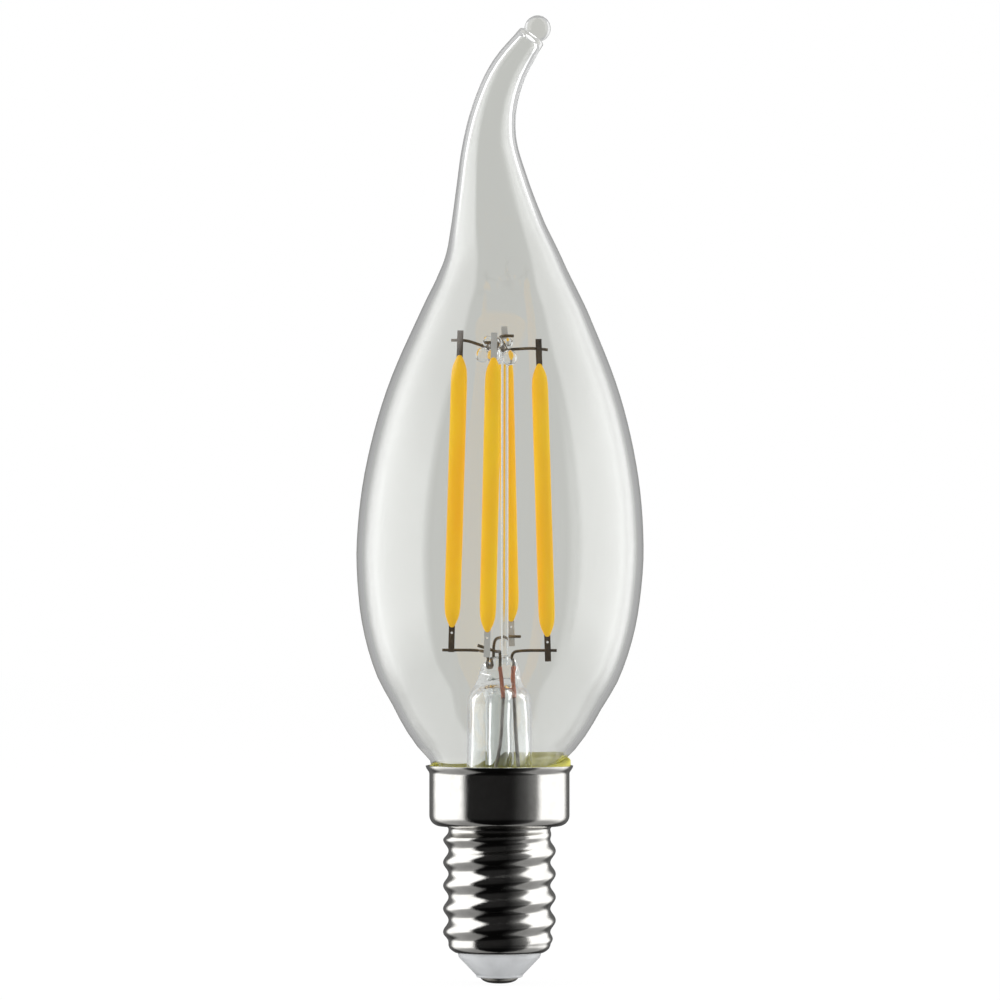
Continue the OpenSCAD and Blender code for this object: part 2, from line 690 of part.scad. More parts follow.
// Smooth stretches of the sheet, drawn as revolved strips
band_in = sheet_t + seam;
module smooth_sheet() {
    rotate_extrude()
        difference() {
            union() {
                polygon([
                    [root_r - band_in, thread_top_z], [root_r + seam, thread_top_z],
                    [root_r + sheet_t, shoulder_z], [skirt_r - shoulder_r, shoulder_z + sheet_t / 2],
                    [skirt_r - shoulder_r, shoulder_z + shoulder_r],
                    [root_r - band_in, shoulder_z + shoulder_r]
                ]);
                translate([skirt_r - shoulder_r, shoulder_z + shoulder_r + sheet_t / 2])
                    circle(r = shoulder_r);
                polygon([
                    [root_r - band_in, shoulder_z + shoulder_r],
                    [skirt_r, shoulder_z + shoulder_r + sheet_t / 2], [skirt_r, rim_z - lip_h],
                    [lip_r, rim_z], [root_r - band_in, rim_z]
                ]);
            }
            polygon([
                [0, thread_top_z - over], [root_r - band_in, thread_top_z - over],
                [root_r - band_in, shoulder_z + sheet_t],
                [skirt_r - shoulder_r, shoulder_z + 1.5 * sheet_t],
                [skirt_inner_r - shoulder_r * 0.3, shoulder_z + shoulder_r * 0.45 + sheet_t],
                [skirt_inner_r, shoulder_z + shoulder_r + sheet_t / 2], [skirt_inner_r, rim_z - lip_h],
                [lip_r - sheet_t, rim_z], [lip_r - sheet_t, rim_z + seam], [0, rim_z + seam]
            ]);
        }
    rotate_extrude()
        polygon([
            [root_r - band_in, thread_low_z], [root_r + seam, thread_low_z],
            [root_r - shell_roll_h * 0.25, thread_low_z - shell_roll_h * 0.5],
            [insulator_r + sheet_t, shell_low_z],
            [insulator_r + seam, shell_low_z], [insulator_r + seam, shell_low_z + sheet_t],
            [root_r - band_in - sheet_t / 2, thread_low_z - shell_roll_h * 0.35]
        ]);
}
module cap_shell() {
    color([0.8, 0.8, 0.79])
        union() {
            smooth_sheet();
            thread_sheet();
        }
}

// Insulator, seated on the rolled edge inside the shell
insulator_inner_r = root_r - band_in - 2 * seat_gap;
module insulator() {
    color([0.94, 0.95, 0.95])
        difference() {
            rotate_extrude()
                polygon([
                    [0, insulator_low_z], [insulator_low_d / 2, insulator_low_z],
                    [insulator_low_d / 2 + seat_gap, insulator_low_z + sheet_t],
                    [insulator_r - sheet_t / 2, shell_low_z - insulator_band_h],
                    [insulator_r, shell_low_z], [insulator_r, shell_low_z + sheet_t],
                    [insulator_inner_r, thread_low_z], [insulator_inner_r, insulator_top_z],
                    [0, insulator_top_z]
                ]);
            translate([0, 0, insulator_low_z - over])
                cylinder(d = contact_shank_d, h = insulator_top_z);
        }
}
module centre_contact() {
    color([0.83, 0.82, 0.79])
        rotate_extrude()
            polygon([
                [0, 0], [contact_flat_d / 2, 0],
                [contact_d * 0.33, insulator_low_z * 0.16], [contact_d * 0.43, insulator_low_z * 0.45],
                [contact_d / 2, insulator_low_z], [contact_shank_d / 2, insulator_low_z],
                [contact_shank_d / 2, contact_top_z], [0, contact_top_z]
            ]);
}

// Cement between the neck and the skirt, which stands over the rim on the right at the back
module neck_plug() {
    plug_low_z = neck_low_z - 2 * stem_wall;
    plug_z = [for (z = body_heights) if (z < rim_z + 4 * cement_bulge) z];
    in_glass() rotate_extrude()
        polygon(concat(
            [[0, plug_low_z], [neck_r, plug_low_z]],
            [for (z = plug_z) [glass_radius(z), z]],
            [[0, plug_z[len(plug_z) - 1]]]
        ));
}
module basing_cement() {
    color([0.78, 0.74, 0.28])
        difference() {
            union() {
                translate([0, 0, neck_low_z]) cylinder(r = skirt_inner_r, h = rim_z - lip_h - neck_low_z);
                translate([0, 0, rim_z - lip_h])
                    cylinder(r1 = skirt_inner_r, r2 = lip_r - sheet_t, h = lip_h);
                rotate([0, 0, cement_turn])
                    intersection() {
                        translate([0, 0, rim_z]) cylinder(r = lip_r - sheet_t, h = 2 * cement_bulge);
                        translate([0, 0, rim_z]) rotate([0, -atan(cement_bulge / lip_r), 0])
                            translate([0, 0, -lip_r]) cylinder(r = 2 * lip_r, h = lip_r);
                    }
            }
            neck_plug();
        }
}

// Driver, standing on edge in the threaded shell
board_top_z = board_z + board_h;
module driver_board() {
    color([0.12, 0.4, 0.22])
        translate([-board_w / 2, -board_t / 2, board_z]) cube([board_w, board_t, board_h]);
}
// Flat package on the front of the board, with four bent legs
leg_w = 0.4;
leg_t = 0.2;
module flat_package(x, z, h) {
    y = -board_t / 2 - chip_case_t;
    translate([x - chip_case_w / 2, y, z]) cube([chip_case_w, chip_case_t, h]);
    for (k = [-1, 1]) for (low = [0, 1])
        translate([x + k * h / 4 - leg_w / 2, -board_t / 2 - chip_case_t / 2, z + low * h - (1 - low) * leg_w])
            cube([leg_w, chip_case_t / 2, leg_w]);
}
package_x = board_w / 2 - chip_case_w / 2 - leg_w / 2;
module rectifier() {
    color([0.12, 0.12, 0.13]) flat_package(-package_x, board_z + board_h / 2 - rectifier_h / 2, rectifier_h);
}
module driver_chip() {
    color([0.14, 0.14, 0.15]) flat_package(package_x, board_z + board_h / 2 - driver_chip_h / 2, driver_chip_h);
}
module capacitor() {
    color([0.15, 0.17, 0.3])
        translate([0, board_t / 2 + capacitor_d / 2, board_z + board_h / 2 - capacitor_h / 2])
            cylinder(d = capacitor_d, h = capacitor_h);
}
resistor_y = -board_t / 2 - chip_case_t - resistor_d / 2;
resistor_z = board_z + board_h / 2 - resistor_l / 2;
resistor_lead_z = resistor_z + resistor_l + 2 * lead_d;
module fusible_resistor() {
    color([0.3, 0.55, 0.42]) {
        translate([0, resistor_y, resistor_z]) cylinder(d = resistor_d, h = resistor_l);
        wire([
            [0, resistor_y, resistor_z + resistor_l - over], [0, resistor_y, resistor_lead_z],
            [0, -board_t / 2, resistor_lead_z]
        ], lead_d, [1, 0, 0]);
    }
}
module contact_lead() {
    color([0.75, 0.74, 0.7])
        wire([
            [0, 0, contact_top_z], [0, 0, insulator_top_z + lead_d / 2],
            [0, resistor_y, insulator_top_z + 2 * lead_d], [0, resistor_y, resistor_z]
        ], lead_d, [1, 0, 0]);
}
// Lead from the board to the inside of the skirt's shoulder
module shell_lead() {
    x = board_w / 2 - lead_d;
    y = board_t / 2 + lead_d / 2 + seat_gap;
    color([0.75, 0.74, 0.7])
        wire([
            [x, y, board_top_z - 3 * lead_d], [x, y, board_top_z + lead_d],
            [root_r - band_in - lead_d, y, shoulder_z - lead_d],
            [root_r - band_in - lead_d / 2, y, neck_low_z - lead_d],
            [skirt_r - shoulder_r, y, shoulder_z + 1.5 * sheet_t + lead_d / 2 + seat_gap]
        ], lead_d, [0, 1, 0]);
}

glass_envelope();
stem_flare();
exhaust_tube();
centre_rod();
for (i = [0:len(STICKS) - 1]) {
    stick_coat(i);
    stick_strip(i);
    stick_chips(i);
    upper_tab(i);
    lower_tab(i);
}
crown_wire(-1);  // crown_wire_left
crown_wire(1);  // crown_wire_right
link_wire();
color([0.32, 0.24, 0.1]) support_wire(1);  // front_support_wire
color([0.32, 0.24, 0.1]) support_wire(2);  // right_support_wire
color([0.75, 0.4, 0.3]) seal_wire(1);  // front_seal_wire
color([0.75, 0.4, 0.3]) seal_wire(2);  // right_seal_wire
color([0.45, 0.43, 0.4]) outer_lead(1);  // front_outer_lead
color([0.45, 0.43, 0.4]) outer_lead(2);  // right_outer_lead
basing_cement();
cap_shell();
insulator();
centre_contact();
driver_board();
rectifier();
driver_chip();
capacitor();
fusible_resistor();
contact_lead();
shell_lead();
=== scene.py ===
"""Candle bulb with a bent glass tail, dressed for the studio. Metres, +Z up, cap down."""

import json
import math

import bmesh
import bpy
from mathutils import Matrix, Vector


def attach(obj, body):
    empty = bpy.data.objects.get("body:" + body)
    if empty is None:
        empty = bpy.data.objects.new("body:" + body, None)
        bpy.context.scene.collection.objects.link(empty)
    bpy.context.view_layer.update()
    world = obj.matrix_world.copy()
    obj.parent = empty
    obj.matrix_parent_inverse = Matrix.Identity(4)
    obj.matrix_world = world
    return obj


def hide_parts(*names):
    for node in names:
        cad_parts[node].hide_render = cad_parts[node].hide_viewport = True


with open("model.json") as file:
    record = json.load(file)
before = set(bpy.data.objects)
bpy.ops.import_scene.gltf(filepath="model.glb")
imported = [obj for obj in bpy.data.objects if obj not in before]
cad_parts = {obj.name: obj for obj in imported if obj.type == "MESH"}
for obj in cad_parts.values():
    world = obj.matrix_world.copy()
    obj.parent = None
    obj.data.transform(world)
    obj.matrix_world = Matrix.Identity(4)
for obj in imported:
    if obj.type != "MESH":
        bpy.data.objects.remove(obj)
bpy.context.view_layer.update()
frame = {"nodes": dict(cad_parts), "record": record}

MM = 0.001

# Glass, in millimetres
glass_r, neck_r, tail_r, bead_r = 17.5, 7.65, 2.1, 1.6
glass_wall, wide_z, tip_z = 0.65, 53.5, 116.5
tail_reach, tail_forward, tail_ease = 3.3, 0.6, 9.0
glass_shift, glass_lean = -0.45, math.radians(1.15)
rim_z, lip_h, lip_r = 26.5, 0.8, 9.0
shoulder_z, shoulder_r = 19.0, 1.3
neck_top_z = rim_z - 1.5 * lip_h
neck_low_z = shoulder_z + 1.2 * shoulder_r
shoulder_shares = [
    (0, 0), (0.055, 0.03), (0.083, 0.115), (0.119, 0.2), (0.2, 0.365),
    (0.291, 0.508), (0.4175, 0.713), (0.589, 0.877), (0.761, 0.964), (1, 1),
]
taper_shares = [
    (0.143, 0.942), (0.298, 0.783), (0.4524, 0.523), (0.53, 0.37), (0.608, 0.247),
    (0.762, 0.091), (0.84, 0.04), (0.9175, 0.01), (0.965, -0.015), (1, -0.05),
]
tail_line_shares = [
    (0, 0), (0.145, -0.12), (0.29, -0.34), (0.435, -0.54), (0.565, -0.67),
    (0.667, -0.62), (0.768, -0.39), (0.855, -0.02), (0.928, 0.47), (1, 1),
]
tail_low_z = wide_z + 0.4524 * (tip_z - wide_z)

# Sticks
coat_l, coat_d = 33.2, 2.02
stick_mid_z, stick_top_r, stick_low_r = 59.7, 4.9, 6.0
stick_top_turn, stick_low_turn = 8.0, 14.0
stick_names = ["left", "front", "right", "back"]
stick_angles = [180, 270, 0, 90]
stick_lifts = [0.25, -0.25, -0.85, 0.9]

# Stem
stem_r, stem_wall, stem_shoulder_z, press_top_z = 3.95, 0.7, 35.3, 39.9
stem_mid_z, exhaust_mid_z = 30, 27
exhaust_r, exhaust_bore_r, exhaust_tip_z = 1.75, 1.05, 18.2
rod_r, rod_x, crown_z, crown_x = 0.45, 0.65, 77.2, -0.3
crown_tilt, crown_core_r = math.radians(6), 1.35
lobe_r, upper_lobe_r, lobe_ring_r, lobe_rise = 0.95, 0.7, 1.65, 0.85

# Cap
thread_r, thread_pitch, thread_depth = 6.875, 2.82, 0.66
thread_start_z, thread_fade, sheet_t = 4.85, 1.3, 0.28
skirt_r, shell_low_z, shell_roll_h = 8.55, 3.75, 0.85
insulator_r, insulator_low_r, insulator_low_z, band_h = 5.1, 2.83, 0.75, 0.55
insulator_top_z = 6.1
contact_r, contact_flat_r, contact_shank_r, contact_top_z = 2.3, 0.8, 1.0, 4.6
root_r = thread_r - thread_depth
thread_top_z = shoulder_z - sheet_t
thread_low_z = shell_low_z + shell_roll_h


def slope_at(table, i):
    a, b = max(i - 1, 0), min(i + 1, len(table) - 1)
    return (table[b][1] - table[a][1]) / (table[b][0] - table[a][0])


def curve_at(table, x):
    """Smooth curve through a table of points."""
    i = 0
    while i < len(table) - 2 and x >= table[i + 1][0]:
        i += 1
    h = table[i + 1][0] - table[i][0]
    u = min(max((x - table[i][0]) / h, 0), 1)
    m0 = 0 if i == 0 else slope_at(table, i) * h
    m1 = slope_at(table, i + 1) * h
    return (
        table[i][1] * (2 * u**3 - 3 * u**2 + 1) + m0 * (u**3 - 2 * u**2 + u)
        + table[i + 1][1] * (3 * u**2 - 2 * u**3) + m1 * (u**3 - u**2)
    )


outline = [
    (neck_top_z + h * (wide_z - neck_top_z), neck_r + r * (glass_r - neck_r))
    for h, r in shoulder_shares
] + [(wide_z + h * (tip_z - wide_z), tail_r + r * (glass_r - tail_r)) for h, r in taper_shares]
tail_line = [(tail_low_z + h * (tip_z - tail_low_z), x * tail_reach) for h, x in tail_line_shares]


def glass_radius(z):
    return curve_at(outline, z)


def tail_middle(z):
    u = max(z - tail_low_z, 0) / (tip_z - tail_low_z)
    x = curve_at(tail_line, z) if z < tip_z else tail_reach
    return Vector((x, -tail_forward * min(u, 1) ** 4, min(z, tip_z)))


def tail_direction(z):
    """Direction that a ring faces. It leans into the bend over the first stretch of the tail."""
    u = min(max((z - tail_low_z) / tail_ease, 0), 1)
    lean = u * u * (3 - 2 * u)
    at = min(z, tip_z - 0.12)
    line = (tail_middle(at + 0.12) - tail_middle(at - 0.12)).normalized()
    return (line * lean + Vector((0, 0, 1 - lean))).normalized()


# Modelling helpers


def clear_selection():
    if bpy.context.object and bpy.context.object.mode != "OBJECT":
        bpy.ops.object.mode_set(mode="OBJECT")
    bpy.ops.object.select_all(action="DESELECT")


def pick_ring(obj, first, count):
    """Selects the vertices from first on, in edit mode, and what they span."""
    mesh = bmesh.from_edit_mesh(obj.data)
    mesh.verts.ensure_lookup_table()
    bpy.ops.mesh.select_all(action="DESELECT")
    bpy.ops.mesh.select_mode(type="VERT")
    for vert in mesh.verts[first:first + count]:
        vert.select = True
    mesh.select_flush(True)
    bmesh.update_edit_mesh(obj.data)


def drawn_skin(name, stations, sides=64, close_low=True, close_high=True):
    """Skin drawn from ring to ring. A station is middle, half widths along X and Y, and lean."""
    clear_selection()
    middle, rx, ry, lean = stations[0]
    bpy.ops.mesh.primitive_circle_add(vertices=sides, radius=MM, location=Vector(middle) * MM)
    obj = bpy.context.object
    obj.name = name
    bpy.ops.object.transform_apply(location=True, rotation=True, scale=True)
    bpy.ops.object.mode_set(mode="EDIT")
    bpy.ops.mesh.select_all(action="SELECT")
    bpy.ops.transform.resize(value=(rx, ry, 1), center_override=Vector(middle) * MM)
    if lean:
        bpy.ops.transform.rotate(
            value=-lean, orient_axis="Y", orient_type="GLOBAL", center_override=Vector(middle) * MM
        )
    before = stations[0]
    for station in stations[1:]:
        middle, rx, ry, lean = station
        step = (Vector(middle) - Vector(before[0])) * MM
        bpy.ops.mesh.extrude_region_move(TRANSFORM_OT_translate={"value": step})
        pivot = Vector(middle) * MM
        if before[3]:
            bpy.ops.transform.rotate(
                value=before[3], orient_axis="Y", orient_type="GLOBAL", center_override=pivot
            )
        bpy.ops.transform.resize(value=(rx / before[1], ry / before[2], 1), center_override=pivot)
        if lean:
            bpy.ops.transform.rotate(
                value=-lean, orient_axis="Y", orient_type="GLOBAL", center_override=pivot
            )
        before = station
    if close_high:
        bpy.ops.mesh.edge_face_add()
        bpy.ops.mesh.poke()
    if close_low:
        pick_ring(obj, 0, sides)
        bpy.ops.mesh.edge_face_add()
        bpy.ops.mesh.poke()
    bpy.ops.mesh.select_all(action="SELECT")
    bpy.ops.mesh.normals_make_consistent(inside=False)
    bpy.ops.object.mode_set(mode="OBJECT")
    return obj


def straight(profile):
    """Stations on the axis from (radius, height) pairs."""
    return [((0, 0, z), r, r, 0) for r, z in profile]


def bridge_open_ends(obj):
    """Bridges the two open edges of a mesh and turns all its faces outward."""
    bpy.ops.object.mode_set(mode="EDIT")
    bpy.ops.mesh.select_mode(type="EDGE")
    bpy.ops.mesh.select_all(action="DESELECT")
    bpy.ops.mesh.select_non_manifold(
        extend=False, use_wire=False, use_boundary=True,
        use_multi_face=False, use_non_contiguous=False, use_verts=False,
    )
    bpy.ops.mesh.bridge_edge_loops()
    bpy.ops.mesh.select_mode(type="VERT")
    bpy.ops.mesh.select_all(action="SELECT")
    bpy.ops.mesh.normals_make_consistent(inside=False)
    bpy.ops.object.mode_set(mode="OBJECT")


def smooth(obj, degrees=40, levels=0):
    clear_selection()
    obj.select_set(True)
    bpy.context.view_layer.objects.active = obj
    if levels:
        rounder = obj.modifiers.new("rounder", "SUBSURF")
        rounder.levels = levels
        rounder.render_levels = levels
        bpy.ops.object.modifier_apply(modifier=rounder.name)
    bpy.ops.object.shade_smooth_by_angle(angle=math.radians(degrees))


def place(obj, matrix):
    obj.data.transform(matrix)
    obj.data.update()


def lean_in_rim():
    pivot = Vector((0, 0, rim_z * MM))
    return (
        Matrix.Translation(Vector((glass_shift * MM, 0, 0)) + pivot)
        @ Matrix.Rotation(glass_lean, 4, "Y") @ Matrix.Translation(-pivot)
    )


# Material helpers


def node_material(name, color, rough=0.4, metal=0.0, **plain):
    mat = bpy.data.materials.new(name)
    mat.use_nodes = True
    shader = mat.node_tree.nodes["Principled BSDF"]
    shader.inputs["Base Color"].default_value = (*color, 1)
    shader.inputs["Roughness"].default_value = rough
    shader.inputs["Metallic"].default_value = metal
    for key, value in plain.items():
        shader.inputs[key.replace("_", " ")].default_value = value
    return mat, mat.node_tree.nodes, mat.node_tree.links, shader


def noise(nodes, links, scale, detail=3.0, stretch=None):
    """Noise in object coordinates, with scale in waves a millimetre."""
    coords = nodes.new("ShaderNodeTexCoord")
    mapping = nodes.new("ShaderNodeMapping")
    mapping.inputs["Scale"].default_value = stretch or (1, 1, 1)
    tex = nodes.new("ShaderNodeTexNoise")
    tex.inputs["Scale"].default_value = scale / MM
    tex.inputs["Detail"].default_value = detail
    links.new(coords.outputs["Object"], mapping.inputs["Vector"])
    links.new(mapping.outputs["Vector"], tex.inputs["Vector"])
    return tex.outputs["Fac"]


def ramp(nodes, links, source, stops):
    node = nodes.new("ShaderNodeValToRGB")
    band = node.color_ramp
    while len(band.elements) < len(stops):
        band.elements.new(0.5)
    for element, (at, color) in zip(band.elements, stops):
        element.position = at
        element.color = (*color, 1)
    links.new(source, node.inputs["Fac"])
    return node.outputs["Color"]


def spread(nodes, links, source, low, high):
    node = nodes.new("ShaderNodeMapRange")
    node.inputs["To Min"].default_value = low
    node.inputs["To Max"].default_value = high
    links.new(source, node.inputs["Value"])
    return node.outputs["Result"]


def bump(nodes, links, shader, source, depth_mm, strength=1.0):
    node = nodes.new("ShaderNodeBump")
    node.inputs["Distance"].default_value = depth_mm * MM
    node.inputs["Strength"].default_value = strength
    links.new(source, node.inputs["Height"])
    links.new(node.outputs["Normal"], shader.inputs["Normal"])


def mixed(nodes, links, factor, low, high):
    """Picks between two colours, or sockets, by a factor."""
    node = nodes.new("ShaderNodeMix")
    node.data_type = "RGBA"
    links.new(factor, node.inputs["Factor"])
    for key, value in (("A", low), ("B", high)):
        if isinstance(value, tuple):
            node.inputs[key].default_value = value
        else:
            links.new(value, node.inputs[key])
    return node.outputs["Result"]


def maths(nodes, links, operation, *values):
    """One sum with numbers or sockets."""
    node = nodes.new("ShaderNodeMath")
    node.operation = operation
    for socket, value in zip(node.inputs, values):
        if isinstance(value, (int, float)):
            socket.default_value = value
        else:
            links.new(value, socket)
    return node.outputs[0]


def along_axes(nodes, links):
    """Object coordinates, one socket an axis."""
    coords = nodes.new("ShaderNodeTexCoord")
    split = nodes.new("ShaderNodeSeparateXYZ")
    links.new(coords.outputs["Object"], split.inputs["Vector"])
    return split.outputs


# Materials


def folds_of_press(nodes, links, waves):
    """Adds the soft folds that the pinching of the hot tube left in the press."""
    share = nodes.new("ShaderNodeMapRange")
    share.inputs["From Min"].default_value = (stem_shoulder_z - 1.0) * MM
    share.inputs["From Max"].default_value = (press_top_z + 0.3) * MM
    links.new(along_axes(nodes, links)["Z"], share.inputs["Value"])
    pinched = ramp(nodes, links, share.outputs["Result"], [
        (0.0, (0, 0, 0)), (0.25, (5, 5, 5)), (0.9, (5, 5, 5)), (1.0, (0, 0, 0)),
    ])
    folds = noise(nodes, links, 0.5, 1.5, (1, 0.8, 1.3))
    return maths(nodes, links, "MULTIPLY_ADD", folds, pinched, waves)


def clear_glass(name, tint, wave, wave_depth, pressed=False):
    """Clear glass with faint waves. Lamps reach what is inside, and trapped rays end on a painted glow, a
    pale gray emission.
    """
    mat, nodes, links, shader = node_material(name, tint, rough=0.0, Transmission_Weight=1.0, IOR=1.5)
    waves = noise(nodes, links, wave, 1.0, (1, 1, 0.5))
    if pressed:
        waves = folds_of_press(nodes, links, waves)
    bump(nodes, links, shader, waves, wave_depth)
    path = nodes.new("ShaderNodeLightPath")
    clear = nodes.new("ShaderNodeBsdfTransparent")
    clear.inputs["Color"].default_value = (0.93, 0.94, 0.94, 1)
    mix = nodes.new("ShaderNodeMixShader")
    links.new(path.outputs["Is Shadow Ray"], mix.inputs["Fac"])
    links.new(shader.outputs["BSDF"], mix.inputs[1])
    links.new(clear.outputs["BSDF"], mix.inputs[2])
    # Painted glow: rays that have bounced more than three times inside the glass end on a pale gray
    # emission instead of black.
    trapped = maths(nodes, links, "GREATER_THAN", path.outputs["Glossy Depth"], 3.5)
    painted_glow = nodes.new("ShaderNodeEmission")
    painted_glow.inputs["Color"].default_value = (0.6, 0.6, 0.58, 1)
    painted_glow_mix = nodes.new("ShaderNodeMixShader")
    links.new(trapped, painted_glow_mix.inputs["Fac"])
    links.new(mix.outputs["Shader"], painted_glow_mix.inputs[1])
    links.new(painted_glow.outputs["Emission"], painted_glow_mix.inputs[2])
    links.new(painted_glow_mix.outputs["Shader"], nodes["Material Output"].inputs["Surface"])
    return mat


def phosphor():
    """Yellow silicone with a soft mottle, and a painted glow: a faint emission in its own yellow stands in
    for light through the silicone.
    """
    mat, nodes, links, shader = node_material("phosphor_silicone", (1.0, 0.5, 0.004), rough=0.5)
    shader.inputs["Specular IOR Level"].default_value = 0.25
    cloud = noise(nodes, links, 0.3, 2.0, (1, 1, 0.3))
    color = ramp(nodes, links, cloud, [(0.32, (1.0, 0.51, 0.002)), (0.68, (1.0, 0.61, 0.006))])
    links.new(color, shader.inputs["Base Color"])
    # Painted glow: the mottled yellow also goes out as a faint emission, though the coat is no lamp.
    links.new(color, shader.inputs["Emission Color"])
    shader.inputs["Emission Strength"].default_value = 0.25
    links.new(spread(nodes, links, noise(nodes, links, 1.5), 0.42, 0.6), shader.inputs["Roughness"])
    bump(nodes, links, shader, noise(nodes, links, 1.1, 2.0), 0.05)
    return mat


def worn_metal(name, dark, light, rough, grain, depth, metal=1.0):
    """Metal with cloudy tarnish and a fine grain."""
    mat, nodes, links, shader = node_material(name, light, rough=rough, metal=metal)
    cloud = noise(nodes, links, 0.6, 4.0)
    links.new(ramp(nodes, links, cloud, [(0.35, dark), (0.65, light)]), shader.inputs["Base Color"])
    wear = spread(nodes, links, noise(nodes, links, 2.0), rough * 0.8, rough * 1.25)
    links.new(wear, shader.inputs["Roughness"])
    bump(nodes, links, shader, noise(nodes, links, grain, 3.0), depth)
    return mat


def moulded(name, dark, light, rough, grain, depth):
    """Moulded, fired or set matter with a soft mottle and a fine grain."""
    mat, nodes, links, shader = node_material(name, light, rough=rough)
    cloud = noise(nodes, links, 0.45, 3.0)
    links.new(ramp(nodes, links, cloud, [(0.35, dark), (0.65, light)]), shader.inputs["Base Color"])
    wear = spread(nodes, links, noise(nodes, links, 1.7), rough * 0.85, rough * 1.15)
    links.new(wear, shader.inputs["Roughness"])
    bump(nodes, links, shader, noise(nodes, links, grain, 3.0), depth)
    return mat


def tab_finish():
    """Dark tarnished tabs; the ones in front and behind get a light gray, less metallic colour, a painted
    highlight.
    """
    mat = worn_metal("tab_metal", (0.04, 0.026, 0.01), (0.1, 0.066, 0.03), 0.42, 5.0, 0.02, 0.8)
    nodes, links = mat.node_tree.nodes, mat.node_tree.links
    shader = nodes["Principled BSDF"]
    tarnish = shader.inputs["Base Color"].links[0].from_socket
    away = maths(nodes, links, "ABSOLUTE", along_axes(nodes, links)["Y"])
    # Painted highlight: tabs more than 2.8 mm in front or behind get a light gray, less metallic colour.
    painted_highlight_mask = maths(nodes, links, "GREATER_THAN", away, 2.8 * MM)
    links.new(mixed(nodes, links, painted_highlight_mask, tarnish, (0.66, 0.65, 0.61, 1)), shader.inputs["Base Color"])
    links.new(spread(nodes, links, painted_highlight_mask, 0.8, 0.1), shader.inputs["Metallic"])
    return mat


finishes = {
    "clear_glass": clear_glass("clear_glass", (0.985, 0.992, 0.99), 0.06, 0.05),
    "stem_glass": clear_glass("stem_glass", (0.97, 0.985, 0.98), 0.35, 0.12, pressed=True),
    "phosphor_silicone": phosphor(),
    "tab_metal": tab_finish(),
}
worn = {
    "support_wire": ((0.05, 0.033, 0.013), (0.13, 0.09, 0.04), 0.4, 6.0, 0.02, 0.8),
    "copper_coat": ((0.36, 0.1, 0.045), (0.55, 0.19, 0.1), 0.4, 5.0, 0.02, 0.6),
    "tinned_wire": ((0.16, 0.14, 0.12), (0.3, 0.28, 0.26), 0.38, 6.0, 0.02, 0.9),
    "cap_metal": ((0.58, 0.57, 0.545), (0.66, 0.65, 0.625), 0.09, 9.0, 0.009),
    "contact_metal": ((0.5, 0.47, 0.42), (0.72, 0.7, 0.66), 0.2, 5.0, 0.03),
}
matt = {
    "ceramic_strip": ((0.8, 0.8, 0.76), (0.9, 0.9, 0.86), 0.5, 6.0, 0.01),
    "chip_crystal": ((0.2, 0.35, 0.7), (0.35, 0.5, 0.85), 0.15, 8.0, 0.004),
    "cement": ((0.42, 0.38, 0.03), (0.6, 0.56, 0.08), 0.5, 1.0, 0.12),
    # The insulator is white plastic; its light gray colour here is painted shade.
    "insulator_plastic": ((0.46, 0.47, 0.48), (0.53, 0.54, 0.55), 0.32, 5.0, 0.01),
    "board_laminate": ((0.02, 0.1, 0.04), (0.04, 0.16, 0.07), 0.4, 4.0, 0.01),
    "black_package": ((0.01, 0.01, 0.011), (0.02, 0.02, 0.022), 0.5, 8.0, 0.01),
    "capacitor_sleeve": ((0.01, 0.012, 0.05), (0.02, 0.025, 0.09), 0.3, 4.0, 0.005),
    "resistor_coat": ((0.04, 0.17, 0.1), (0.07, 0.24, 0.15), 0.6, 6.0, 0.02),
}
for slot, look in worn.items():
    finishes[slot] = worn_metal(slot, *look)
for slot, look in matt.items():
    finishes[slot] = moulded(slot, *look)
slot_of = {part["node"]: part["material_slot"] for part in frame["record"]["subparts"]}


def finish(obj, slot, *stands_for):
    """Gives a new piece its material and its body, and hides the nodes that it stands for."""
    obj.data.materials.clear()
    obj.data.materials.append(finishes[slot])
    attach(obj, "root")
    if stands_for:
        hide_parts(*stands_for)
    return obj


# Pieces


def glass_envelope():
    """Blown skin with its wall, the hollow tail and the solid bead."""
    sides = 72

    def ring(z, r):
        direction = tail_direction(z) if z > tail_low_z else Vector((0, 0, 1))
        return (tail_middle(z), r, r, math.atan2(direction.x, direction.z))

    heights = [neck_low_z, neck_top_z - 1.5, neck_top_z]
    heights += [neck_top_z + (tail_low_z - neck_top_z) * i / 34 for i in range(1, 35)]
    waist_z = tip_z - 1.05
    tail = [tail_low_z + (waist_z - tail_low_z) * i / 34 for i in range(1, 35)]
    outer = [ring(z, max(glass_radius(z), 1.75)) for z in heights + tail]
    axis = tail_direction(tip_z)
    lean = math.atan2(axis.x, axis.z)
    middle = tail_middle(tip_z)
    for back, r in ((1.22, 1.72), (1.1, 1.62), (1.03, 1.48), (1.01, 1.36)):
        outer.append((middle - axis * back, r, r, lean))
    for angle in range(-34, 86, 8):
        a = math.radians(angle)
        r = bead_r * math.cos(a)
        outer.append((middle + axis * bead_r * math.sin(a), r, r, lean))
    inner = []
    for z in heights:
        slope = (glass_radius(z + 0.3) - glass_radius(z - 0.3)) / 0.6
        r = glass_radius(z) - glass_wall * math.sqrt(1 + slope * slope)
        inner.append(ring(z, glass_radius(z) - glass_wall if z <= neck_top_z else r))
    hollow_z = tip_z - 1.15
    for i in range(1, 26):
        z = tail_low_z + (hollow_z - tail_low_z) * i / 26
        inner.append(ring(z, max(glass_radius(z) - 1.1 * glass_wall, 1.2)))
    for part, below in ((0.97, 0.6), (0.85, 0.3), (0.6, 0.1), (0.25, 0)):
        inner.append(ring(hollow_z - below, 1.2 * part))
    skin = drawn_skin("glass_skin", inner[::-1] + outer, sides)
    place(skin, lean_in_rim())
    smooth(skin, 60)
    return finish(skin, "clear_glass", "glass_envelope")


